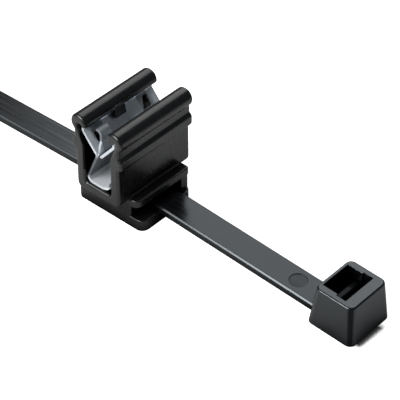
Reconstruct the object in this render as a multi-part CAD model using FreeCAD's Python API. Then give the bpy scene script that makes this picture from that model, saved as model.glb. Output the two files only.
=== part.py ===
# Edge clip with a cable tie.
#
# A black moulded housing stands on a flat plate. Two jaws rise from it, and each ends in a round
# roll with a hook under its inner side. A folded sheet spring sits between the jaws and grips the
# edge of a panel that is pushed in from above. A cable tie runs through a window under the jaws.
#
# Frame: millimetres, +Z up. The origin is the middle of the plate's underside. +X runs along the
# strap towards the tie's head, and +Y runs along the jaws. The tie rests on both ends of the plate,
# its head and its tail touch the surface that the clip stands on.
import FreeCAD, Part
import math
import os

# Housing, plate, posts and flange
plate_length = 12.8
plate_width = 10.3
plate_thickness = 1.8
plate_corner = 1.2
plate_edge = 0.15
window_width = 7.0
window_height = 2.3
post_inset = 1.6
post_corner = 0.3
flange_length = 11.4
flange_overhang = 0.3
flange_thickness = 1.15
flange_soft_corner = 1.1
flange_sharp_corner = 0.5
flange_edge = 0.25
flange_cove = 0.25

# Housing, jaws. Heights on the jaw run down from the middle of the roll.
jaw_length = 14.7
jaw_width = 8.0
jaw_height = 12.78
jaw_wall = 1.55
jaw_overlap = 0.9
jaw_foot_radius = 1.0
jaw_end_radius = 0.4
floor_thickness = 1.5
cavity_corner = 0.5
roll_radius = 1.43
roll_overhang = 0.78
neck_step = 0.2
neck_blend = 0.4
bead_drop = 2.4
bead_height = 2.3
bead_ramp = 0.4
bead_step = 0.68
bead_radius = 0.6
bead_foot_blend = 0.1
hook_drop = 0.4
hook_nose = 0.35
hook_nose_width = 0.65
hook_blend = 0.12
notch_rise = 0.35
notch_height = 0.4
notch_wall = 0.6
notch_corner = 0.15
lead_in_height = 2.75
lead_in_blend = 0.5
lug_length = 2.1
lug_shift = 0.45
lug_height = 1.4
lug_thickness = 0.34
lug_bevel = 0.1
lug_corner = 0.35
lug_inset = 0.14

# Sheet spring
sheet = 0.4
spring_length = 13.7
throat_gap = 0.2
throat_radius = 0.45
arm_height = 3.5
arm_tip_rise = 0.4
arm_knee_radius = 0.6
arm_clearance = 0.12
tip_clearance = 0.5
hook_clearance = 0.45
foot_clearance = 0.1
back_foot_radius = 0.7
front_foot_radius = 1.9
front_leg_inset = 2.3
front_leg_foot = 1.75
end_strip = 1.4
tongue_width = 1.9
tongue_kerf = 0.1
tongue_lift = 0.55
tongue_knee = 1.5
tongue_rise = 3.05
tongue_curl = 0.9
tongue_radius = 0.75
opening_rise = 1.0
opening_height = 1.45
relief_band = 0.25
relief_height = 1.65
relief_top_width = 0.9
relief_foot_width = 2.0
relief_corner = 0.3

# Cable tie
tie_length = 200.0
strap_width = 4.6
strap_thickness = 1.1
strap_offset = 0.43
strap_chamfer = 0.22
strap_bend_radius = 109.0
head_distance = 29.05
touch_down = 67.0
touch_down_radius = 900.0
head_top_length = 6.3
head_top_width = 7.65
head_height = 6.2
head_back_draft = 0.54
head_front_draft = 0.85
head_side_draft = 0.45
head_corner = 1.0
head_edge = 0.28
head_back_wall = 0.5
head_front_wall = 1.75
slot_depth = 1.55
slot_side_wall = 0.9
pocket_side_wall = 1.2
pawl_gap = 0.25
pawl_slot_gap = 0.1
pawl_root_low = 1.3
pawl_root_high = 2.3
pawl_tip_height = 4.3
pawl_thickness = 0.75
pawl_tooth = 0.3
pawl_tooth_count = 3
pawl_crown = 0.1
pawl_root_blend = 0.3
pawl_hip = 0.5
pawl_hip_blend = 0.4
pawl_tip_radius = 0.2
tooth_pitch = 1.1
tooth_depth = 0.45
tooth_crest = 0.11
tooth_flat = 0.2
rail_width = 0.8
teeth_from_head = 12.0
teeth_from_tip = 26.0
tail_taper = 20.0
tail_tip_width = 2.6
tail_tip_radius = 1.0
ejector_diameter = 2.6
ejector_depth = 0.08
ejector_to_head = 5.4


def vec(x, z):
    return FreeCAD.Vector(x, 0, z)


def unit(a, b):
    run, rise = b[0] - a[0], b[1] - a[1]
    size = math.hypot(run, rise)
    return run / size, rise / size


# Corners are (x, z, radius). Each round corner becomes an arc that is tangent to both sides.
def corner_arc(before, corner, after):
    radius = corner[2]
    into = unit(before, corner)
    out = unit(corner, after)
    cross = into[0] * out[1] - into[1] * out[0]
    dot = into[0] * out[0] + into[1] * out[1]
    turn = math.atan2(abs(cross), dot)
    if radius <= 0.0 or turn < 1e-9:
        return [corner[:2]]
    reach = radius * math.tan(turn / 2.0)
    start = (corner[0] - into[0] * reach, corner[1] - into[1] * reach)
    end = (corner[0] + out[0] * reach, corner[1] + out[1] * reach)
    half = (out[0] - into[0], out[1] - into[1])
    size = math.hypot(*half)
    depth = radius / math.cos(turn / 2.0) - radius
    middle = (corner[0] + half[0] / size * depth, corner[1] + half[1] / size * depth)
    return [start, middle, end]


# Edges in the XZ plane through a list of corners, closed or open.
def outline_edges(corners, closed):
    count = len(corners)
    stops = []
    for i, corner in enumerate(corners):
        ends_here = not closed and i in (0, count - 1)
        if ends_here:
            stops.append([corner[:2]])
        else:
            stops.append(corner_arc(corners[i - 1], corner, corners[(i + 1) % count]))
    edges = []
    last = count if closed else count - 1
    for i in range(count):
        if len(stops[i]) == 3:
            arc = [vec(*p) for p in stops[i]]
            edges.append(Part.Arc(*arc).toShape())
        if i < last:
            start = vec(*stops[i][-1])
            end = vec(*stops[(i + 1) % count][0])
            if start.distanceToPoint(end) > 1e-6:
                edges.append(Part.LineSegment(start, end).toShape())
    return edges


# A solid of one XZ outline, from y_low along +Y.
def prism(corners, y_low, length):
    wire = Part.Wire(Part.__sortEdges__(outline_edges(corners, True)))
    face = Part.Face(wire)
    face.translate(FreeCAD.Vector(0, y_low, 0))
    return face.extrude(FreeCAD.Vector(0, length, 0))


# The path moved sideways: positive shifts lie to the left of the way it runs.
def shifted(path, shift):
    moved = []
    for i, (x, z, radius) in enumerate(path):
        before = unit(path[i - 1], path[i]) if i > 0 else unit(path[0], path[1])
        after = unit(path[i], path[i + 1]) if i < len(path) - 1 else before
        normal = (-before[1] - after[1], before[0] + after[0])
        size = math.hypot(*normal)
        cosine = size / 2.0
        reach = shift / cosine
        cross = before[0] * after[1] - before[1] * after[0]
        bend = radius - shift if cross > 0 else radius + shift
        moved.append((x + normal[0] / size * reach, z + normal[1] / size * reach, bend if radius else 0.0))
    return moved


# The outline of a bent sheet: the path shifted to one side, then back along the other.
def sheet_outline(path, left, right):
    return shifted(path, left) + list(reversed(shifted(path, -right)))


# A flat block with upright round corners, centred on Z. The near right and far left corners have
# the first radius, the other two the second.
def round_box(length, width, height, radius, other_radius, base):
    wire = round_rectangle(-length / 2.0, length / 2.0, width / 2.0, radius, other_radius, base)
    return Part.Face(wire).extrude(FreeCAD.Vector(0, 0, height))


# A level rectangle with round corners, from x_low to x_high and half_width each side of y = 0.
def round_rectangle(x_low, x_high, half_width, radius, other_radius, height):
    corners = [(x_high, -half_width, radius), (x_high, half_width, other_radius),
               (x_low, half_width, radius), (x_low, -half_width, other_radius)]
    edges = outline_edges(corners, True)
    flat = Part.Wire(Part.__sortEdges__(edges))
    flat.rotate(FreeCAD.Vector(0, 0, 0), FreeCAD.Vector(1, 0, 0), -90)
    flat.translate(FreeCAD.Vector(0, 0, height))
    return flat


def box(x_low, x_high, y_low, y_high, z_low, z_high):
    size = (x_high - x_low, y_high - y_low, z_high - z_low)
    return Part.makeBox(*size, FreeCAD.Vector(x_low, y_low, z_low))


def mirrored(corners):
    return [(-x, z, radius) for x, z, radius in reversed(corners)]


# Heights and widths that the pieces share
window_top = plate_thickness + window_height
flange_top = window_top + flange_thickness
flange_width = plate_width + 2.0 * flange_overhang
jaw_foot = flange_top - jaw_overlap
jaw_side = jaw_width / 2.0
cavity_floor = jaw_foot + floor_thickness
cavity_half = jaw_side - jaw_wall
neck_side = jaw_side + neck_step
roll_side = jaw_side + roll_overhang
roll_x = roll_side - roll_radius
roll_height = jaw_foot + jaw_height - roll_radius
hook_height = roll_height - hook_drop
notch_top = hook_height + notch_rise
notch_x = neck_side - notch_wall
sheet_middle = cavity_floor + sheet / 2.0
arm_tip_height = hook_height - hook_clearance
throat_height = arm_tip_height - arm_height


# Right half of the jaw section, from the foot up the outside, round the roll and down the inside.
def jaw_half_section():
    bead_x = jaw_side + bead_step
    bead_head = roll_height - bead_drop
    bead_foot = bead_head - bead_height
    inner = roll_x - roll_radius
    nose_end = inner + hook_nose_width
    diagonal = roll_height - roll_x - roll_radius * math.sqrt(2.0)
    top = roll_height + roll_radius
    lead_in_top = notch_top - notch_height
    return [
        (jaw_side, jaw_foot, jaw_foot_radius),
        (jaw_side, bead_foot, bead_foot_blend),
        (bead_x, bead_foot + bead_ramp, bead_radius),
        (bead_x, bead_head - bead_ramp, bead_radius),
        (neck_side, bead_head, neck_blend),
        (neck_side, neck_side + diagonal, neck_blend),
        (roll_side, roll_side + diagonal, roll_radius),
        (roll_side, top, roll_radius),
        (inner, top, roll_radius),
        (inner, hook_height, hook_nose),
        (nose_end, hook_height, hook_blend),
        (nose_end + notch_rise, notch_top, hook_blend),
        (notch_x, notch_top, notch_corner),
        (notch_x, lead_in_top, notch_corner),
        (cavity_half, lead_in_top - lead_in_height, lead_in_blend),
        (cavity_half, cavity_floor, cavity_corner),
    ]


# Edges of the jaw ends that a hand can touch: outside walls, beads and rolls.
def jaw_end_edges(body):
    ends = (-jaw_length / 2.0, jaw_length / 2.0)
    inside = (notch_x + jaw_side) / 2.0
    chosen = []
    for edge in body.Edges:
        bounds = edge.BoundBox
        at_end = any(abs(bounds.YMin - y) < 1e-4 and abs(bounds.YMax - y) < 1e-4 for y in ends)
        middle = edge.CenterOfMass
        outside = abs(middle.x) > inside and middle.z > jaw_foot + jaw_foot_radius
        if at_end and (outside or middle.z > roll_height):
            chosen.append(edge)
    return chosen


# A lug under the right roll hangs in front of the spring arm and keeps it down.
def jaw_lug():
    throat, knee = arm_line()
    along = unit(throat, knee)
    tip_height = hook_height - lug_height
    back_x = knee[0] - sheet / 2.0 - arm_clearance
    tip_x = on_arm(tip_height)[0] - (sheet / 2.0 + arm_clearance) / along[1]
    back_height = tip_height + (back_x - tip_x) * along[1] / along[0]
    corners = [
        (tip_x, tip_height, lug_bevel),
        (back_x, back_height, 0.0),
        (back_x, notch_top, 0.0),
        (roll_x - roll_radius + lug_inset, notch_top, 0.0),
        (tip_x - lug_thickness, tip_height + lug_bevel, lug_bevel),
    ]
    body = prism(corners, -lug_length, 2.0 * lug_length)
    low = -lug_shift - lug_length / 2.0
    high = -lug_shift + lug_length / 2.0
    front = [
        (low, tip_height, lug_corner),
        (low, notch_top, 0.0),
        (high, notch_top, 0.0),
        (high, tip_height, lug_corner),
    ]
    return body.common(crosswise(front, notch_x))


# A copy turned half round about Z. The housing is the same after half a turn.
def half_turn(body):
    turned = body.copy()
    turned.rotate(FreeCAD.Vector(0, 0, 0), FreeCAD.Vector(0, 0, 1), 180)
    return turned


# The post on the near side of the window. It stops short of the flange's right end.
def near_post():
    width = (plate_width - window_width) / 2.0
    x_high = flange_length / 2.0 - post_inset
    outline = round_rectangle(-flange_length / 2.0, x_high, width / 2.0, post_corner, post_corner,
                              plate_thickness)
    near = Part.Face(outline).extrude(FreeCAD.Vector(0, 0, window_height))
    near.translate(FreeCAD.Vector(0, (width - plate_width) / 2.0, 0))
    return near


# A small cove where the right jaw rises from the flange.
def cove():
    buried = flange_edge
    corners = [
        (jaw_side - buried, flange_top - buried, 0.0),
        (jaw_side + flange_cove, flange_top - buried, 0.0),
        (jaw_side + flange_cove, flange_top, 0.0),
        (jaw_side, flange_top, flange_cove),
        (jaw_side, flange_top + flange_cove, 0.0),
        (jaw_side - buried, flange_top + flange_cove, 0.0),
    ]
    length = flange_width - 2.0 * flange_edge
    return prism(corners, -length / 2.0, length)


# The same body with its top rim rounded.
def round_rim(body, top, radius):
    rim = [edge for edge in body.Edges if edge.BoundBox.ZMin > top - 1e-4]
    return body.makeFillet(radius, rim)


def clip_housing():
    half = jaw_half_section()
    jaws = prism(half + mirrored(half), -jaw_length / 2.0, jaw_length)
    jaws = jaws.makeFillet(jaw_end_radius, jaw_end_edges(jaws))
    plate = round_box(plate_length, plate_width, plate_thickness, plate_corner, plate_corner, 0.0)
    plate = round_rim(plate, plate_thickness, plate_edge)
    flange = round_box(flange_length, flange_width, flange_thickness,
                       flange_soft_corner, flange_sharp_corner, window_top)
    flange = round_rim(flange, flange_top, flange_edge)
    body = plate.fuse([flange, jaws])
    for detail in (near_post(), jaw_lug(), cove()):
        body = body.fuse([detail, half_turn(detail)])
    return body.removeSplitter()


# The upper arm of the spring, as two points on the middle of the sheet.
def arm_line():
    throat = (throat_gap / 2.0 + sheet / 2.0, throat_height)
    knee = (notch_x - tip_clearance - sheet / 2.0, arm_tip_height - arm_tip_rise)
    return throat, knee


# Corner of a foot: the leg comes down from the throat and the bend just clears the jaw's wall.
def foot_corner(radius):
    throat = arm_line()[0]
    run = cavity_half - foot_clearance - sheet / 2.0 - radius - throat[0]
    drop = throat[1] - sheet_middle - radius
    lean = math.atan2(run, drop) + math.asin(radius / math.hypot(run, drop))
    return throat[0] + (throat[1] - sheet_middle) * math.tan(lean), sheet_middle, radius


# Middle of the sheet on the right side, from the arm's tip down through the throat to the foot.
def spring_half(foot_radius):
    throat, knee = arm_line()
    return [
        (knee[0], arm_tip_height, 0.0),
        (knee[0], knee[1], arm_knee_radius),
        (throat[0], throat[1], throat_radius),
        foot_corner(foot_radius),
    ]


# A point on the middle of the right arm at one height.
def on_arm(height):
    throat, knee = arm_line()
    share = (height - throat[1]) / (knee[1] - throat[1])
    return throat[0] + share * (knee[0] - throat[0]), height


# A solid of one outline drawn across the length: its first numbers run along -Y, its depth along +X.
def crosswise(corners, depth):
    body = prism(corners, 0.0, depth)
    body.rotate(FreeCAD.Vector(0, 0, 0), FreeCAD.Vector(0, 0, 1), -90)
    return body


# A tongue lanced out of the right arm. It leaves the arm at the throat, stands into the gap and
# curls back at its free end. Its outer edge runs slanting up from the throat's corner.
def tongue_solid(y_low, y_high):
    throat = arm_line()[0]
    x = throat[0] + tongue_lift
    top = throat_height + tongue_rise
    path = [
        (throat[0], throat_height, 0.0),
        (x, throat_height + tongue_knee, tongue_radius),
        (x, top, tongue_radius),
        (x + tongue_curl, top, 0.0),
    ]
    end = spring_length / 2.0
    body = prism(sheet_outline(path, sheet / 2.0, sheet / 2.0), y_low, end - y_low)
    beyond = [
        (-end, throat_height, 0.0),
        (-y_high, throat_height + tongue_knee, 0.0),
        (-y_high, top + sheet, 0.0),
        (-end - sheet, top + sheet, 0.0),
        (-end - sheet, throat_height, 0.0),
    ]
    return body.cut(crosswise(beyond, cavity_half + jaw_wall))


# Openings in the right arm: a window behind the tongue at one end, a tapered relief at the other.
def arm_openings(y_low, y_high):
    low = throat_height + opening_rise
    reach = notch_x
    window = box(throat_gap, reach, y_low - tongue_kerf, y_high + tongue_kerf, low, low + opening_height)
    inner_edge = spring_length / 2.0 - end_strip
    top = arm_line()[1][1] - relief_band
    corners = [
        (inner_edge, top - relief_height, 0.0),
        (inner_edge, top, relief_corner),
        (inner_edge - relief_top_width, top, relief_corner),
        (inner_edge - relief_foot_width, top - relief_height, 0.0),
    ]
    return window.fuse(crosswise(corners, reach))


# The front leg is narrower than its arm: both its ends are cut away between foot and throat.
def front_leg_cuts():
    low = cavity_floor + front_leg_foot
    end = spring_length / 2.0
    inner = end - front_leg_inset
    near = box(0.0, cavity_half, -end - sheet, -inner, low, throat_height)
    far = box(0.0, cavity_half, inner, end + sheet, low, throat_height)
    return near.fuse(far)


def grip_spring():
    path = spring_half(front_foot_radius) + mirrored(spring_half(back_foot_radius))
    body = prism(sheet_outline(path, sheet / 2.0, sheet / 2.0), -spring_length / 2.0, spring_length)
    y_high = spring_length / 2.0 - end_strip
    y_low = y_high - tongue_width
    body = body.cut(front_leg_cuts())
    openings = arm_openings(y_low, y_high)
    body = body.cut([openings, half_turn(openings)])
    tongue = tongue_solid(y_low, y_high)
    body = body.fuse([tongue, half_turn(tongue)])
    return body.removeSplitter()


# Angles at which the strap leaves the plate on its way down to the bench.
head_reach = head_distance + head_top_length + head_front_draft
head_droop = math.asin(plate_thickness / head_reach)
tail_droop = math.asin(plate_thickness / touch_down)
plate_end = plate_length / 2.0 - plate_edge


# Underside of the strap, from its head to its tip.
def strap_path():
    start = head_distance + head_back_wall / 2.0
    rise = math.tan(head_droop) + math.tan(tail_droop)
    crown_x = plate_end * (math.tan(head_droop) - math.tan(tail_droop)) / rise
    crown_z = plate_thickness + (plate_end - crown_x) * math.tan(head_droop)
    landing = -plate_end - touch_down * math.cos(tail_droop)
    tip = -(tie_length - head_reach - plate_end)
    head_x = plate_end + start * math.cos(head_droop)
    head_z = plate_thickness - start * math.sin(head_droop)
    return [
        (head_x, head_z, 0.0),
        (crown_x, crown_z, strap_bend_radius),
        (landing, 0.0, touch_down_radius),
        (tip, 0.0, 0.0),
    ]


# Saw teeth along the underside, cut between two side rails.
def tooth_cutter(path):
    wire = Part.Wire(Part.__sortEdges__(outline_edges(path, False)))
    length = wire.Length
    points = wire.discretize(Distance=tooth_pitch)
    first = int(teeth_from_head / tooth_pitch)
    last = int((length - teeth_from_tip) / tooth_pitch)
    profile = []
    for a, b in zip(points[first:last], points[first + 1:last + 1]):
        run, rise = unit((a.x, a.z), (b.x, b.z))
        for forward, upward in ((0.0, tooth_crest), (tooth_flat, tooth_crest), (tooth_flat, tooth_depth)):
            x = a.x + run * forward + rise * upward
            z = a.z + rise * forward - run * upward
            profile.append((x, z, 0.0))
    end = points[last]
    profile.append((end.x, end.z + tooth_crest, 0.0))
    below = -strap_thickness
    closing = [(end.x, end.z + below, 0.0), (0.0, below, 0.0)]
    closing.append((profile[0][0], profile[0][1] + below, 0.0))
    width = strap_width - 2.0 * rail_width
    return prism(profile + closing, strap_offset - width / 2.0, width)


def strap():
    path = strap_path()
    outline = sheet_outline(path, 0.0, strap_thickness)
    body = prism(outline, strap_offset - strap_width / 2.0, strap_width)
    sides = (strap_offset - strap_width / 2.0, strap_offset + strap_width / 2.0)
    top_edges = []
    for edge in body.Edges:
        bounds = edge.BoundBox
        on_side = any(abs(bounds.YMin - y) < 1e-4 and abs(bounds.YMax - y) < 1e-4 for y in sides)
        along = bounds.XMax - bounds.XMin > strap_thickness
        if on_side and along and is_top(edge, path):
            top_edges.append(edge)
    body = body.makeChamfer(strap_chamfer, top_edges)
    body = body.cut(tooth_cutter(path))
    return body.common(tail_outline(path[-1][0], path[0][0]))


# True for an edge that lies a strap's thickness from the underside.
def is_top(edge, path):
    wire = Part.Wire(Part.__sortEdges__(outline_edges(path, False)))
    middle = edge.valueAt((edge.FirstParameter + edge.LastParameter) / 2.0)
    spot = Part.Vertex(FreeCAD.Vector(middle.x, 0, middle.z))
    return wire.distToShape(spot)[0] > strap_thickness / 2.0


# The strap seen from above: full width, then a taper to a round tip.
def tail_outline(tip, head_end):
    half = strap_width
    tip_half = tail_tip_width / 2.0
    beyond = head_end + strap_width
    corners = [
        (tip, strap_offset - tip_half, tail_tip_radius),
        (tip + tail_taper, strap_offset - strap_width / 2.0, 0.0),
        (tip + tail_taper, strap_offset - half, 0.0),
        (beyond, strap_offset - half, 0.0),
        (beyond, strap_offset + half, 0.0),
        (tip + tail_taper, strap_offset + half, 0.0),
        (tip + tail_taper, strap_offset + strap_width / 2.0, 0.0),
        (tip, strap_offset + tip_half, tail_tip_radius),
    ]
    wire = Part.Wire(Part.__sortEdges__(outline_edges(corners, True)))
    wire.rotate(FreeCAD.Vector(0, 0, 0), FreeCAD.Vector(1, 0, 0), -90)
    wire.translate(FreeCAD.Vector(0, 0, -head_height))
    return Part.Face(wire).extrude(FreeCAD.Vector(0, 0, 2.0 * head_height))


# The pawl leans up inside the head's pocket, with its teeth towards the slot.
def pawl(pocket_low, pocket_high):
    face_x = pocket_high - pawl_slot_gap
    root_x = pocket_low - head_back_wall / 2.0
    teeth = []
    tooth_height = (pawl_tip_height - pawl_root_high) / (pawl_tooth_count + 1)
    for i in range(pawl_tooth_count):
        top = pawl_tip_height - pawl_crown - i * tooth_height
        teeth.append((face_x, top, 0.0))
        teeth.append((face_x - pawl_tooth, top - tooth_height, 0.0))
    corners = [
        (root_x, pawl_root_low, 0.0),
        (root_x, pawl_root_high, 0.0),
        (pocket_low + pawl_hip, pawl_root_high, pawl_hip_blend),
        (face_x - pawl_tooth - pawl_thickness, pawl_tip_height, pawl_tip_radius),
        (face_x - pawl_tooth, pawl_tip_height, 0.0),
    ]
    corners += teeth
    corners.append((pocket_low + pawl_thickness, pawl_root_low, pawl_root_blend))
    half = head_top_width / 2.0 - pocket_side_wall - pawl_gap
    return prism(corners, -half, 2.0 * half)


# The head in its own frame: X along the strap from the plate's end, Z up from the strap's underside.
def tie_head():
    x_low = head_distance
    x_high = head_distance + head_top_length
    top = round_rectangle(x_low, x_high, head_top_width / 2.0, head_corner, head_corner, head_height)
    foot = round_rectangle(x_low - head_back_draft, x_high + head_front_draft,
                           head_top_width / 2.0 + head_side_draft, head_corner, head_corner, 0.0)
    block = Part.makeLoft([foot, top], True, True)
    rim = [edge for edge in block.Edges if edge.BoundBox.ZMin > head_height - 1e-4]
    block = block.makeFillet(head_edge, rim)

    slot_high = x_high - head_front_wall
    slot_low = slot_high - slot_depth
    pocket_low = x_low + head_back_wall
    slot_half = head_top_width / 2.0 - slot_side_wall
    pocket_half = head_top_width / 2.0 - pocket_side_wall
    low, high = -slot_depth, head_height + slot_depth
    slot = box(slot_low, slot_high, -slot_half, slot_half, low, high)
    pocket = box(pocket_low, slot_low + pawl_slot_gap, -pocket_half, pocket_half, low, high)
    head = block.cut(slot.fuse(pocket)).fuse(pawl(pocket_low, slot_low))
    return head


# Moves a shape from the head's own frame to its place at the end of the drooping strap.
def place_at_head(shape):
    shape.rotate(FreeCAD.Vector(0, 0, 0), FreeCAD.Vector(0, 1, 0), math.degrees(head_droop))
    shape.translate(FreeCAD.Vector(plate_end, strap_offset, plate_thickness))
    return shape


def cable_tie():
    mark_x = head_distance - ejector_to_head
    mark = Part.makeCylinder(ejector_diameter / 2.0, strap_thickness,
                             FreeCAD.Vector(mark_x, 0, strap_thickness - ejector_depth))
    body = strap().cut(place_at_head(mark))
    return body.fuse(place_at_head(tie_head())).removeSplitter()


def main():
    os.makedirs("parts", exist_ok=True)
    pieces = {
        "clip_housing": clip_housing(),
        "grip_spring": grip_spring(),
        "cable_tie": cable_tie(),
    }
    for name, shape in pieces.items():
        print(name, len(shape.Solids), shape.isValid(), round(shape.Volume, 3), shape.BoundBox)
        shape.exportStep(os.path.join("parts", name + ".step"))


main()
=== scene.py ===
# %% [markdown]
# # Edge clip with a cable tie
# The real object has three pieces: a black moulded housing, a bright folded spring between its jaws,
# and a black tie that runs through the window under them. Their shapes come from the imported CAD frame.
# They could be modelled once more here, but a second copy would only drift from the solids, so this
# lesson leaves the shapes alone and gives them their finishes, a bench, soft light and a camera.

# %% Frame
import math
import bpy
from mathutils import Matrix, Vector

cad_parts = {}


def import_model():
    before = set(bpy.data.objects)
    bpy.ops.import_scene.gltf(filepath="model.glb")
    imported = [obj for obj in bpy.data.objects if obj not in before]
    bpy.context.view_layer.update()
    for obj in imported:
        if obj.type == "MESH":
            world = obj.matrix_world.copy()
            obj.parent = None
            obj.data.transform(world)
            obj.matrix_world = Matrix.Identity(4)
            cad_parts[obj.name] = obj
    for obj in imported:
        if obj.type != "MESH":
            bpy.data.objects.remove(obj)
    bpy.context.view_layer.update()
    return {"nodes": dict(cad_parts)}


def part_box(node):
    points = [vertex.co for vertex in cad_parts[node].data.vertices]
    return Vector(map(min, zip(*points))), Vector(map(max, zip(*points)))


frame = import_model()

MM = 0.001
print("pieces:", ", ".join(sorted(frame["nodes"])))

# %% [markdown]
# ## Camera
# The photograph was taken with a long lens from the head's side, well above the bench. A camera could
# be aimed by eye, but then no edge would lie quite where the photograph has it. So the lens, the
# distance and the two angles come from fitting the plate, the jaws, the rolls and the strap's edges,
# and the camera's own axes are worked out from the two angles.

# %% Camera
AZIMUTH = math.radians(41.70)
ELEVATION = math.radians(40.45)
DISTANCE = 281.95 * MM
SIDE_SHIFT = 9.349 * MM
UP_SHIFT = -0.567 * MM
CLIP_START = 1.0 * MM
SENSOR = 36.0
PICTURE_PIXELS = 400.0
FOCAL_PIXELS = 1970.0


def photo_camera():
    right = Vector((math.cos(AZIMUTH), math.sin(AZIMUTH), 0.0))
    level = math.cos(ELEVATION)
    look = Vector((-math.sin(AZIMUTH) * level, math.cos(AZIMUTH) * level, -math.sin(ELEVATION)))
    up = right.cross(look)
    place = right * SIDE_SHIFT + up * UP_SHIFT - look * DISTANCE
    data = bpy.data.cameras.new("photo_camera")
    data.sensor_width = SENSOR
    data.lens = FOCAL_PIXELS / PICTURE_PIXELS * SENSOR
    data.clip_start = CLIP_START
    camera = bpy.data.objects.new("photo_camera", data)
    turn = Matrix((right, up, -look)).transposed().to_4x4()
    camera.matrix_world = Matrix.Translation(place) @ turn
    bpy.context.collection.objects.link(camera)
    bpy.context.scene.camera = camera
    print(f"camera: lens {data.lens:.1f} mm, {DISTANCE / MM:.0f} mm away")


photo_camera()


# %% [markdown]
# ## One node at a time
# A material is a graph of nodes. Wired one link after the other, such a graph is long and hard to
# read. Each helper below adds one node, feeds it and hands back its output, so a material reads like
# a formula. A value is either another node's output, which gets linked, or a number, vector or
# colour, which is set on the socket.

# %% Node helpers
NUMBER_RESULTS = {"LENGTH", "DISTANCE", "DOT_PRODUCT"}
SHADE_SAMPLES = 8


def put(value, socket):
    if isinstance(value, bpy.types.NodeSocket):
        socket.id_data.links.new(value, socket)
    else:
        socket.default_value = value


def maths(tree, operation, *values):
    node = tree.nodes.new("ShaderNodeMath")
    node.operation = operation
    for value, socket in zip(values, node.inputs):
        put(value, socket)
    return node.outputs["Value"]


def vector_maths(tree, operation, *values):
    node = tree.nodes.new("ShaderNodeVectorMath")
    node.operation = operation
    for value, socket in zip(values, node.inputs):
        put(value, socket)
    return node.outputs["Value" if operation in NUMBER_RESULTS else "Vector"]


def map_range(tree, value, source, target, smooth=False):
    node = tree.nodes.new("ShaderNodeMapRange")
    if smooth:
        node.interpolation_type = "SMOOTHSTEP"
    labels = ("Value", "From Min", "From Max", "To Min", "To Max")
    for label, number in zip(labels, (value, *source, *target)):
        put(number, node.inputs[label])
    return node.outputs["Result"]


def occlusion(tree, distance):
    node = tree.nodes.new("ShaderNodeAmbientOcclusion")
    node.samples = SHADE_SAMPLES
    put(distance, node.inputs["Distance"])
    return node.outputs["AO"]


def object_place(tree):
    return tree.nodes.new("ShaderNodeTexCoord").outputs["Object"]


def split(tree, vector):
    node = tree.nodes.new("ShaderNodeSeparateXYZ")
    put(vector, node.inputs[0])
    return tuple(node.outputs)


# %% [markdown]
# ## Shared effects
# Moulded nylon and rolled steel need the same few effects, so each effect is a node group with its
# own inputs. It is built once, and each material that needs it places it with its own values.
#
# Streaks are noise with its own scale along X, Y and Z. An image could show them, but noise has no
# seam and stays sharp at any distance. Even scales give a grain, uneven ones give lines. The group
# stretches the noise over the whole range from Low to High.

# %% Streaks
NOISE_SPREAD = (0.3, 0.7)


def new_group(name, inputs, output):
    group = bpy.data.node_groups.new(name, "ShaderNodeTree")
    for label, kind, value in inputs:
        socket = group.interface.new_socket(name=label, in_out="INPUT", socket_type=kind)
        socket.default_value = value
    label, kind = output
    group.interface.new_socket(name=label, in_out="OUTPUT", socket_type=kind)
    start = group.nodes.new("NodeGroupInput")
    end = group.nodes.new("NodeGroupOutput")
    return group, start.outputs, end.inputs[label]


def streak_group():
    group, given, result = new_group(
        "streaks",
        [("Scale", "NodeSocketVector", (1.0, 1.0, 1.0)), ("Detail", "NodeSocketFloat", 3.0),
         ("Low", "NodeSocketFloat", 0.0), ("High", "NodeSocketFloat", 1.0)],
        ("Value", "NodeSocketFloat"))
    noise = group.nodes.new("ShaderNodeTexNoise")
    put(vector_maths(group, "MULTIPLY", object_place(group), given["Scale"]), noise.inputs["Vector"])
    put(1.0, noise.inputs["Scale"])
    put(given["Detail"], noise.inputs["Detail"])
    put(map_range(group, noise.outputs["Fac"], NOISE_SPREAD, (given["Low"], given["High"])), result)
    return group


STREAKS = streak_group()
print("group:", STREAKS.name)

# %% [markdown]
# The skin of a moulded or cut piece has edges that are rounded by a fraction of a millimetre, and a
# fine grain. Real fillets of that size would cost many faces and hardly show, so a Bevel node rounds
# the shading alone, and a Bump node tilts it by the grain. The group hands on both as one normal.

# %% Skin
EDGE_SAMPLES = 8


def skin_group():
    group, given, result = new_group(
        "moulded_surface",
        [("Edge", "NodeSocketFloat", 0.15 * MM), ("Grain", "NodeSocketFloat", 0.0),
         ("Strength", "NodeSocketFloat", 0.1), ("Depth", "NodeSocketFloat", 0.02 * MM)],
        ("Normal", "NodeSocketVector"))
    edge = group.nodes.new("ShaderNodeBevel")
    edge.samples = EDGE_SAMPLES
    put(given["Edge"], edge.inputs["Radius"])
    bump = group.nodes.new("ShaderNodeBump")
    put(edge.outputs["Normal"], bump.inputs["Normal"])
    put(given["Grain"], bump.inputs["Height"])
    put(given["Strength"], bump.inputs["Strength"])
    put(given["Depth"], bump.inputs["Distance"])
    put(bump.outputs["Normal"], result)
    return group


SKIN = skin_group()
print("group:", SKIN.name)

# %% [markdown]
# A recess in black nylon stays black, because what it could mirror is only more black nylon. Lights
# and mirrors alone leave it too grey, so this group paints that shade in. The specular level could be
# lowered there, but an exported model keeps only one level for the whole piece. It does keep Metallic,
# and a metal mirrors no more than its own colour, so a surface that is nearly black loses its gloss
# as Metallic goes up. The group finds the recess by ambient occlusion, with Deep as its value there and
# Open as the value on an open face.

# %% Recesses
RECESS_SPREAD = (0.35, 0.75)
DEEP_SHEEN = 0.04


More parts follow.
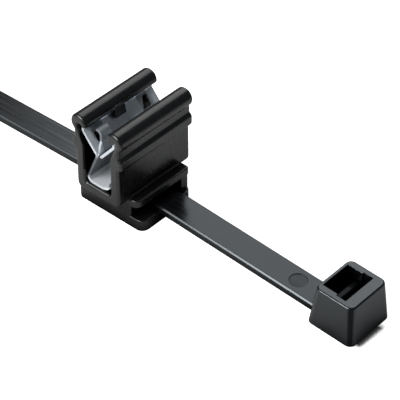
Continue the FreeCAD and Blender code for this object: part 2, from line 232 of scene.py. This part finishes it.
def recess_shade_group():
    group, given, result = new_group(
        "recess",
        [("Reach", "NodeSocketFloat", 3.0 * MM), ("Deep", "NodeSocketFloat", 1.0),
         ("Open", "NodeSocketFloat", 0.0)],
        ("Value", "NodeSocketFloat"))
    shade = occlusion(group, given["Reach"])
    put(map_range(group, shade, RECESS_SPREAD, (given["Deep"], given["Open"])), result)
    return group


# The value of Metallic that leaves only this much sheen of a full one.
def sheen_taken(sheen, full):
    return 1.0 - sheen / full


RECESS_SHADE = recess_shade_group()
print("group:", RECESS_SHADE.name)


# %% [markdown]
# A group is placed in a material as a single node. Its inputs are named in the call, and each can be
# a number or another node's output.

# %% Material helpers
def place_group(tree, group, **values):
    node = tree.nodes.new("ShaderNodeGroup")
    node.node_tree = group
    for label, value in values.items():
        put(value, node.inputs[label])
    return node.outputs[0]


def colour_ramp(tree, value, *stops):
    node = tree.nodes.new("ShaderNodeValToRGB")
    elements = node.color_ramp.elements
    for position, colour in stops[2:]:
        elements.new(position)
    for element, (position, colour) in zip(elements, stops):
        element.position = position
        element.color = (*colour, 1.0)
    put(value, node.inputs["Fac"])
    return node.outputs["Color"]


def new_material(name):
    material = bpy.data.materials.new(name)
    material.use_nodes = True
    tree = material.node_tree
    return material, tree, tree.nodes["Principled BSDF"]


# %% [markdown]
# ## Black nylon of the housing
# The housing is moulded in black nylon, and the mould is lightly eroded, so the skin is satin with a
# grain of about a tenth of a millimetre. The colour is almost black. What the eye reads as form is
# the broad soft reflection on the rolls and the thin light lines on the rounded edges, so the work
# goes into gloss and edges rather than colour. The hooks and lugs between the jaws lie in each other's
# shade, and a mask paints that shade by taking their sheen away, from the spring's legs up to the rolls.

# %% Housing material
housing_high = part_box("clip_housing")[1]
HOUSING_SHEEN = 0.61
THROAT_SHEEN = 0.06
THROAT_HALF_WIDTH = 3.2 * MM
THROAT_HALF_LENGTH = housing_high.y - 0.05 * MM
THROAT_BOTTOM = 8.0 * MM
THROAT_TOP = (housing_high.z - 1.93 * MM, housing_high.z - 0.93 * MM)
HOUSING_BLACKS = ((0.0, (0.0028, 0.0028, 0.0030)), (1.0, (0.0048, 0.0048, 0.0050)))


# Painted shade between the jaws: 1 between them and 0 outside them, with a soft upper end under the
# rolls.
def throat_shade_mask(tree):
    x, y, z = split(tree, vector_maths(tree, "ABSOLUTE", object_place(tree)))
    between = maths(tree, "LESS_THAN", x, THROAT_HALF_WIDTH)
    inner = maths(tree, "LESS_THAN", y, THROAT_HALF_LENGTH)
    above = maths(tree, "GREATER_THAN", z, THROAT_BOTTOM)
    below = map_range(tree, z, THROAT_TOP, (1.0, 0.0))
    sides = maths(tree, "MULTIPLY", between, inner)
    return maths(tree, "MULTIPLY", sides, maths(tree, "MULTIPLY", above, below))


def housing_material():
    material, tree, shader = new_material("housing_nylon")
    grain = place_group(tree, STREAKS, Scale=(9000.0, 9000.0, 9000.0), Detail=4.0)
    tone = place_group(tree, STREAKS, Scale=(350.0, 350.0, 350.0), Detail=2.0)
    gloss = place_group(tree, STREAKS, Scale=(500.0, 500.0, 500.0), Low=0.23, High=0.31)
    taken = sheen_taken(THROAT_SHEEN, HOUSING_SHEEN)
    throat = maths(tree, "MULTIPLY", throat_shade_mask(tree), taken)
    deep = sheen_taken(DEEP_SHEEN, HOUSING_SHEEN)
    put(colour_ramp(tree, tone, *HOUSING_BLACKS), shader.inputs["Base Color"])
    # Painted shade: the sheen is taken away in recesses and between the jaws.
    put(place_group(tree, RECESS_SHADE, Deep=deep, Open=throat), shader.inputs["Metallic"])
    put(gloss, shader.inputs["Roughness"])
    put(HOUSING_SHEEN, shader.inputs["Specular IOR Level"])
    skin = place_group(tree, SKIN, Edge=0.16 * MM, Grain=grain, Strength=0.16, Depth=0.006 * MM)
    put(skin, shader.inputs["Normal"])
    return material


# %% [markdown]
# ## Black nylon of the tie
# The tie comes from a polished mould, so it is glossier than the housing. The nylon flows along the
# strap when it is moulded, which leaves lengthwise streaks in the gloss, faint near the head and
# plainer towards the tail. The ejector pin leaves a matt disc near the head. Painted shade takes sheen
# off the strap, so that the head is a little brighter than the strap, and off the pocket, so that it
# stays black. The strap, the disc and the pocket could be faces with materials of their own, but the tie
# is one solid, so masks in one material place them, measured from the head's end and from the strap's
# middle.

# %% Tie material
tie_low, tie_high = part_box("cable_tie")
HEAD_END = tie_high.x
STRAP_MIDDLE = (tie_low.y + tie_high.y) / 2.0
TIE_SHEEN = 0.75
STRAP_SHEEN = 0.55
POCKET_SHEEN = 0.09
TIE_TINT = (0.87, 0.95, 1.0, 1.0)
TIE_BLACKS = ((0.0, (0.0028, 0.0029, 0.0032)), (1.0, (0.0045, 0.0047, 0.0052)))
HEAD_START = (HEAD_END - 7.4 * MM, HEAD_END - 7.0 * MM)
POCKET_MIDDLE = HEAD_END - 4.3 * MM
POCKET_HALF_LENGTH = 1.95 * MM
POCKET_HALF_WIDTH = 2.55 * MM
DISC_MIDDLE = HEAD_END - 12.555 * MM
DISC_EDGE = (1.2 * MM, 1.3 * MM)
DISC_MATT = 0.26
STREAKS_FADE = (-14.0 * MM, 0.0)
STREAKS_HIGH = (0.44, 0.20)


# How matt the ejector pin left the strap, on top of the strap's own roughness.
def disc_matt(tree, place):
    centre = (-DISC_MIDDLE, -STRAP_MIDDLE, 0.0)
    flat = vector_maths(tree, "MULTIPLY_ADD", place, (1.0, 1.0, 0.0), centre)
    return map_range(tree, vector_maths(tree, "LENGTH", flat), DISC_EDGE, (DISC_MATT, 0.0))


# Painted shade: the share of its sheen that the tie loses on the strap and in the head's pocket.
def tie_painted_shade(tree, x, y):
    strap = map_range(tree, x, HEAD_START, (sheen_taken(STRAP_SHEEN, TIE_SHEEN), 0.0))
    across = maths(tree, "COMPARE", y, STRAP_MIDDLE, POCKET_HALF_WIDTH)
    along = maths(tree, "COMPARE", x, POCKET_MIDDLE, POCKET_HALF_LENGTH)
    pocket = maths(tree, "MULTIPLY", across, along)
    taken = maths(tree, "MULTIPLY", pocket, sheen_taken(POCKET_SHEEN, TIE_SHEEN))
    return maths(tree, "MAXIMUM", strap, taken)


def tie_material():
    material, tree, shader = new_material("tie_nylon")
    place = object_place(tree)
    x, y = split(tree, place)[:2]
    grain = place_group(tree, STREAKS, Scale=(5000.0, 5000.0, 5000.0))
    tone = place_group(tree, STREAKS, Scale=(60.0, 1400.0, 600.0), Detail=2.0)
    high = map_range(tree, x, STREAKS_FADE, STREAKS_HIGH)
    gloss = place_group(tree, STREAKS, Scale=(45.0, 1500.0, 500.0), Low=0.11, High=high)
    deep = sheen_taken(DEEP_SHEEN, TIE_SHEEN)
    # Painted shade beside the head and the clip and in the pocket, through the sheen taken away.
    dark = place_group(tree, RECESS_SHADE, Reach=5.0 * MM, Deep=deep, Open=tie_painted_shade(tree, x, y))
    put(colour_ramp(tree, tone, *TIE_BLACKS), shader.inputs["Base Color"])
    put(dark, shader.inputs["Metallic"])
    put(maths(tree, "ADD", disc_matt(tree, place), gloss), shader.inputs["Roughness"])
    put(TIE_SHEEN, shader.inputs["Specular IOR Level"])
    put(TIE_TINT, shader.inputs["Specular Tint"])
    skin = place_group(tree, SKIN, Edge=0.14 * MM, Grain=grain, Strength=0.2, Depth=0.005 * MM)
    put(skin, shader.inputs["Normal"])
    return material


# %% [markdown]
# ## Spring steel
# The spring is cut and folded from bright strip. Rolling leaves fine lines along the strip's length,
# which runs up and down the arms. The foot and the ends of the arms are frosted and bright. The legs
# between foot and throat are painted dark, as the shade they lie in, and the lanced tongues and the cuts
# round them are painted darker as shade that hides their glints, and made rougher. The spring is one
# piece too, so its zones are masks again: by height, by the distance from the spring's middle, and by
# the direction in which a cut face looks.

# %% Zones of the spring
spring_low, spring_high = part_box("grip_spring")
FOOT_TOP = (spring_low.z + 0.65 * MM, spring_low.z + 1.25 * MM)
ARMS_START = spring_low.z + 4.95 * MM
ARM_END = (spring_high.y - 1.25 * MM, spring_high.y - 0.65 * MM)
ARM_END_FROST = 0.75
TONGUE_MIDDLE = spring_high.y - 2.37 * MM
TONGUE_HALF_WIDTH = 1.0 * MM
CUT_LIMIT = spring_high.y - 0.25 * MM
CUT_FACING = 0.4


# The foot and the ends of the arms.
def frosted_zone(tree, along, arms, z):
    foot = map_range(tree, z, FOOT_TOP, (1.0, 0.0))
    ends = maths(tree, "MULTIPLY", map_range(tree, along, ARM_END, (0.0, ARM_END_FROST)), arms)
    return maths(tree, "MAXIMUM", foot, ends)


# Painted shade and more roughness: the tongues, and the cut faces that look along the spring, but for
# its two outer ends.
def dull_shaded_zone(tree, along, arms):
    in_tongue = maths(tree, "COMPARE", along, TONGUE_MIDDLE, TONGUE_HALF_WIDTH)
    tongue = maths(tree, "MULTIPLY", in_tongue, arms)
    normal = tree.nodes.new("ShaderNodeNewGeometry").outputs["Normal"]
    facing = maths(tree, "ABSOLUTE", split(tree, normal)[1])
    turned = maths(tree, "GREATER_THAN", facing, CUT_FACING)
    inner = maths(tree, "LESS_THAN", along, CUT_LIMIT)
    cut = maths(tree, "MULTIPLY", turned, inner)
    return maths(tree, "MAXIMUM", tongue, cut)


# %% Spring material
STEEL_TONES = ((0.0, (0.60, 0.63, 0.66)), (1.0, (0.76, 0.78, 0.80)))
BRIGHT_FOOT = (1.0, 1.0, 1.0)
# Painted shade: the legs are darkened where they lie in shade.
LEG_PAINTED_SHADE = (0.22, 0.23, 0.24)
BRIGHT_ARM = (0.95, 0.98, 1.0)
HEIGHTS = (spring_low.z + 0.15 * MM, spring_low.z + 6.15 * MM)
HEIGHT_PAINTED_SHADES = ((0.10, BRIGHT_FOOT), (0.20, LEG_PAINTED_SHADE), (0.82, LEG_PAINTED_SHADE), (0.96, BRIGHT_ARM))
# Painted shade on the tongues and cuts, which hides their glints.
DULL_PAINTED_SHADE = 0.55
DULL_ROUGHNESS = 0.30
FROSTED_METAL = 0.25


# The steel's colour: its tone, times the painted shade at its height, times the painted shade on tongues
# and cuts.
def steel_colour(tree, tone, z, dull_shade):
    shade = colour_ramp(tree, map_range(tree, z, HEIGHTS, (0.0, 1.0)), *HEIGHT_PAINTED_SHADES)
    painted_dulling = map_range(tree, dull_shade, (0.0, 1.0), (1.0, DULL_PAINTED_SHADE))
    tint = tree.nodes.new("ShaderNodeMix")
    tint.data_type = "RGBA"
    tint.blend_type = "MULTIPLY"
    put(1.0, tint.inputs["Factor"])
    put(colour_ramp(tree, tone, *STEEL_TONES), tint.inputs["A"])
    put(vector_maths(tree, "MULTIPLY", shade, painted_dulling), tint.inputs["B"])
    return tint.outputs["Result"]


def spring_material():
    material, tree, shader = new_material("spring_steel")
    y, z = split(tree, object_place(tree))[1:]
    along = maths(tree, "ABSOLUTE", y)
    arms = maths(tree, "GREATER_THAN", z, ARMS_START)
    dull_shade = dull_shaded_zone(tree, along, arms)
    lines = place_group(tree, STREAKS, Scale=(700.0, 9000.0, 300.0))
    tone = place_group(tree, STREAKS, Scale=(400.0, 400.0, 400.0))
    gloss = place_group(tree, STREAKS, Scale=(600.0, 600.0, 600.0), Detail=2.0, Low=0.28, High=0.36)
    metal = map_range(tree, frosted_zone(tree, along, arms, z), (0.0, 1.0), (1.0, FROSTED_METAL))
    put(steel_colour(tree, tone, z, dull_shade), shader.inputs["Base Color"])
    put(metal, shader.inputs["Metallic"])
    put(maths(tree, "MULTIPLY_ADD", dull_shade, DULL_ROUGHNESS, gloss), shader.inputs["Roughness"])
    skin = place_group(tree, SKIN, Edge=0.06 * MM, Grain=lines, Strength=0.2, Depth=0.004 * MM)
    put(skin, shader.inputs["Normal"])
    return material


# %% [markdown]
# ## Finishes on the pieces
# Each CAD piece already has a material slot from the record. The slot keeps its place and gets the
# better material, so the meshes aren't touched.

# %% Materials on the CAD nodes
FINISHES = {
    "clip_housing": housing_material(),
    "grip_spring": spring_material(),
    "cable_tie": tie_material(),
}
for name, material in FINISHES.items():
    for slot in frame["nodes"][name].material_slots:
        slot.material = material
    print(f"{name}: {material.name}, {len(material.node_tree.nodes)} nodes")


# %% [markdown]
# ## Bench
# The object stands on a plain white bench, which is pure white but for a soft dark patch where the
# head touches it, a painted shadow. More light could wash the bench out, but it would wash out the
# object too. So the camera sees paper with a white glow of its own, and every other ray sees plain
# paper under the soft boxes, with the object's shadow on it. That paper has painted shade too: it
# darkens at every contact, away from the object, and in a wedge before the head's near corner, which
# leaves a dark band down that corner.

# %% Shader helpers
def camera_ray(tree):
    return tree.nodes.new("ShaderNodeLightPath").outputs["Is Camera Ray"]


def paper_shader(tree, colour):
    node = tree.nodes.new("ShaderNodeBsdfDiffuse")
    put(colour, node.inputs["Color"])
    return node.outputs["BSDF"]


def mix_shaders(tree, factor, first, second):
    node = tree.nodes.new("ShaderNodeMixShader")
    for value, socket in zip((factor, first, second), node.inputs):
        put(value, socket)
    return node.outputs["Shader"]


# %% Bench as the camera sees it
WHITE_PAPER = (0.80, 0.80, 0.80, 1.0)
BLACK = (0.0, 0.0, 0.0, 1.0)
PAPER_GLOW = 0.93
PATCH_CENTRE = (HEAD_END + 0.8 * MM, STRAP_MIDDLE - 0.73 * MM, 0.0)
PATCH_EDGE = (2.3 * MM, 3.3 * MM)
PATCH_REACH = 1.6 * MM
PATCH_SPREAD = (0.72, 0.96)
PATCH_DARK = 0.985


def seen_bench(tree, place):
    glow = tree.nodes.new("ShaderNodeEmission")
    put(PAPER_GLOW, glow.inputs["Strength"])
    paper = tree.nodes.new("ShaderNodeAddShader")
    put(paper_shader(tree, WHITE_PAPER), paper.inputs[0])
    put(glow.outputs["Emission"], paper.inputs[1])
    # Painted shadow: the soft dark patch beside the head's end, by distance from it and by ambient
    # occlusion.
    away = vector_maths(tree, "DISTANCE", place, PATCH_CENTRE)
    beside = map_range(tree, away, PATCH_EDGE, (1.0, 0.0))
    close = map_range(tree, occlusion(tree, PATCH_REACH), PATCH_SPREAD, (PATCH_DARK, 0.0), smooth=True)
    patch = maths(tree, "MULTIPLY", beside, close)
    return mix_shaders(tree, patch, paper.outputs["Shader"], paper_shader(tree, BLACK))


# %% Bench as the object mirrors it
MIRRORED_FADE = (25.0 * MM, 120.0 * MM)
MIRRORED_GREYS = (0.72, 0.15)
CONTACT_REACH = 12.0 * MM
CONTACT_POWER = 2.0
CORNER = (HEAD_END - 0.4 * MM, tie_low.y + 0.345 * MM, 0.0)
CORNER_WAY = (0.673, -0.740, 0.0)
WEDGE_SPREAD = (0.45, 0.90)
WEDGE_DARK = 0.2


# Painted shadow: down to WEDGE_DARK before the head's near corner, by the direction from that corner,
# and 1 elsewhere.
def corner_painted_shadow(tree, place):
    from_corner = vector_maths(tree, "NORMALIZE", vector_maths(tree, "SUBTRACT", place, CORNER))
    ahead = vector_maths(tree, "DOT_PRODUCT", from_corner, CORNER_WAY)
    return map_range(tree, ahead, WEDGE_SPREAD, (1.0, WEDGE_DARK), smooth=True)


def mirrored_bench(tree, place):
    # Painted shade on the mirrored paper: lighter near the object, darker away from it, at every contact
    # and in the wedge.
    far = vector_maths(tree, "LENGTH", place)
    fade = map_range(tree, far, MIRRORED_FADE, MIRRORED_GREYS, smooth=True)
    contact = maths(tree, "POWER", occlusion(tree, CONTACT_REACH), CONTACT_POWER)
    level = maths(tree, "MULTIPLY", fade, contact)
    return paper_shader(tree, maths(tree, "MULTIPLY", level, corner_painted_shadow(tree, place)))


# %% Bench
BENCH_SIZE = 4.0


def bench():
    bpy.ops.mesh.primitive_plane_add(size=BENCH_SIZE, location=(0.0, 0.0, 0.0))
    floor = bpy.context.object
    floor.name = "bench"
    material, tree, shader = new_material("bench_white")
    tree.nodes.remove(shader)
    place = object_place(tree)
    surface = mix_shaders(tree, camera_ray(tree), mirrored_bench(tree, place), seen_bench(tree, place))
    put(surface, tree.nodes["Material Output"].inputs["Surface"])
    floor.data.materials.append(material)
    print(f"bench: {BENCH_SIZE:.0f} m square")


bench()


# %% [markdown]
# ## Studio
# Gloss on black plastic is only what it mirrors, so the light is placed by its reflections. The world
# is dim and slightly blue, and the camera alone sees it white. The back box hangs close behind, where
# the strap, the head and the rolls mirror it, and the strap dims to the left where the box ends. The
# near-left box draws the light line on the strap's near edge. The near box looks into the open end
# of the jaws and lights the spring. Soft boxes are area lamps: a point lamp would leave small hard
# dots on the gloss.

# %% World
WORLD_COLOUR = (0.85, 0.93, 1.0, 1.0)
WORLD_STRENGTH = 0.12
SEEN_COLOUR = (1.0, 1.0, 1.0, 1.0)
SEEN_STRENGTH = 1.1


def background(node, colour, strength):
    put(colour, node.inputs["Color"])
    put(strength, node.inputs["Strength"])
    return node.outputs["Background"]


def world():
    studio = bpy.data.worlds.new("studio")
    bpy.context.scene.world = studio
    studio.use_nodes = True
    tree = studio.node_tree
    base = background(tree.nodes["Background"], WORLD_COLOUR, WORLD_STRENGTH)
    white = background(tree.nodes.new("ShaderNodeBackground"), SEEN_COLOUR, SEEN_STRENGTH)
    put(mix_shaders(tree, camera_ray(tree), base, white), tree.nodes["World Output"].inputs["Surface"])
    print(f"world: strength {WORLD_STRENGTH}, seen as {SEEN_STRENGTH}")


world()

# %% Lights
# Each light is (name, direction from the object, distance, size across, size up, power in watts).
SOFT_BOXES = [
    ("back_box", (-0.309, 0.589, 0.747), 0.2201, 0.17, 0.16, 0.160),
    ("near_left_box", (-0.506, -0.649, 0.568), 0.40, 0.26, 0.22, 0.55),
    ("near_box", (-0.10, -0.78, 0.62), 0.40, 0.26, 0.22, 1.75),
]


def soft_boxes():
    for name, direction, distance, across, up, power in SOFT_BOXES:
        data = bpy.data.lights.new(name, "AREA")
        data.shape = "RECTANGLE"
        data.size = across
        data.size_y = up
        data.energy = power
        lamp = bpy.data.objects.new(name, data)
        way = Vector(direction).normalized()
        lamp.location = way * distance
        lamp.rotation_euler = way.to_track_quat("Z", "Y").to_euler()
        bpy.context.collection.objects.link(lamp)
        print(f"{name}: {power} W, {distance} m away")


soft_boxes()
bpy.context.scene.view_settings.view_transform = "Standard"
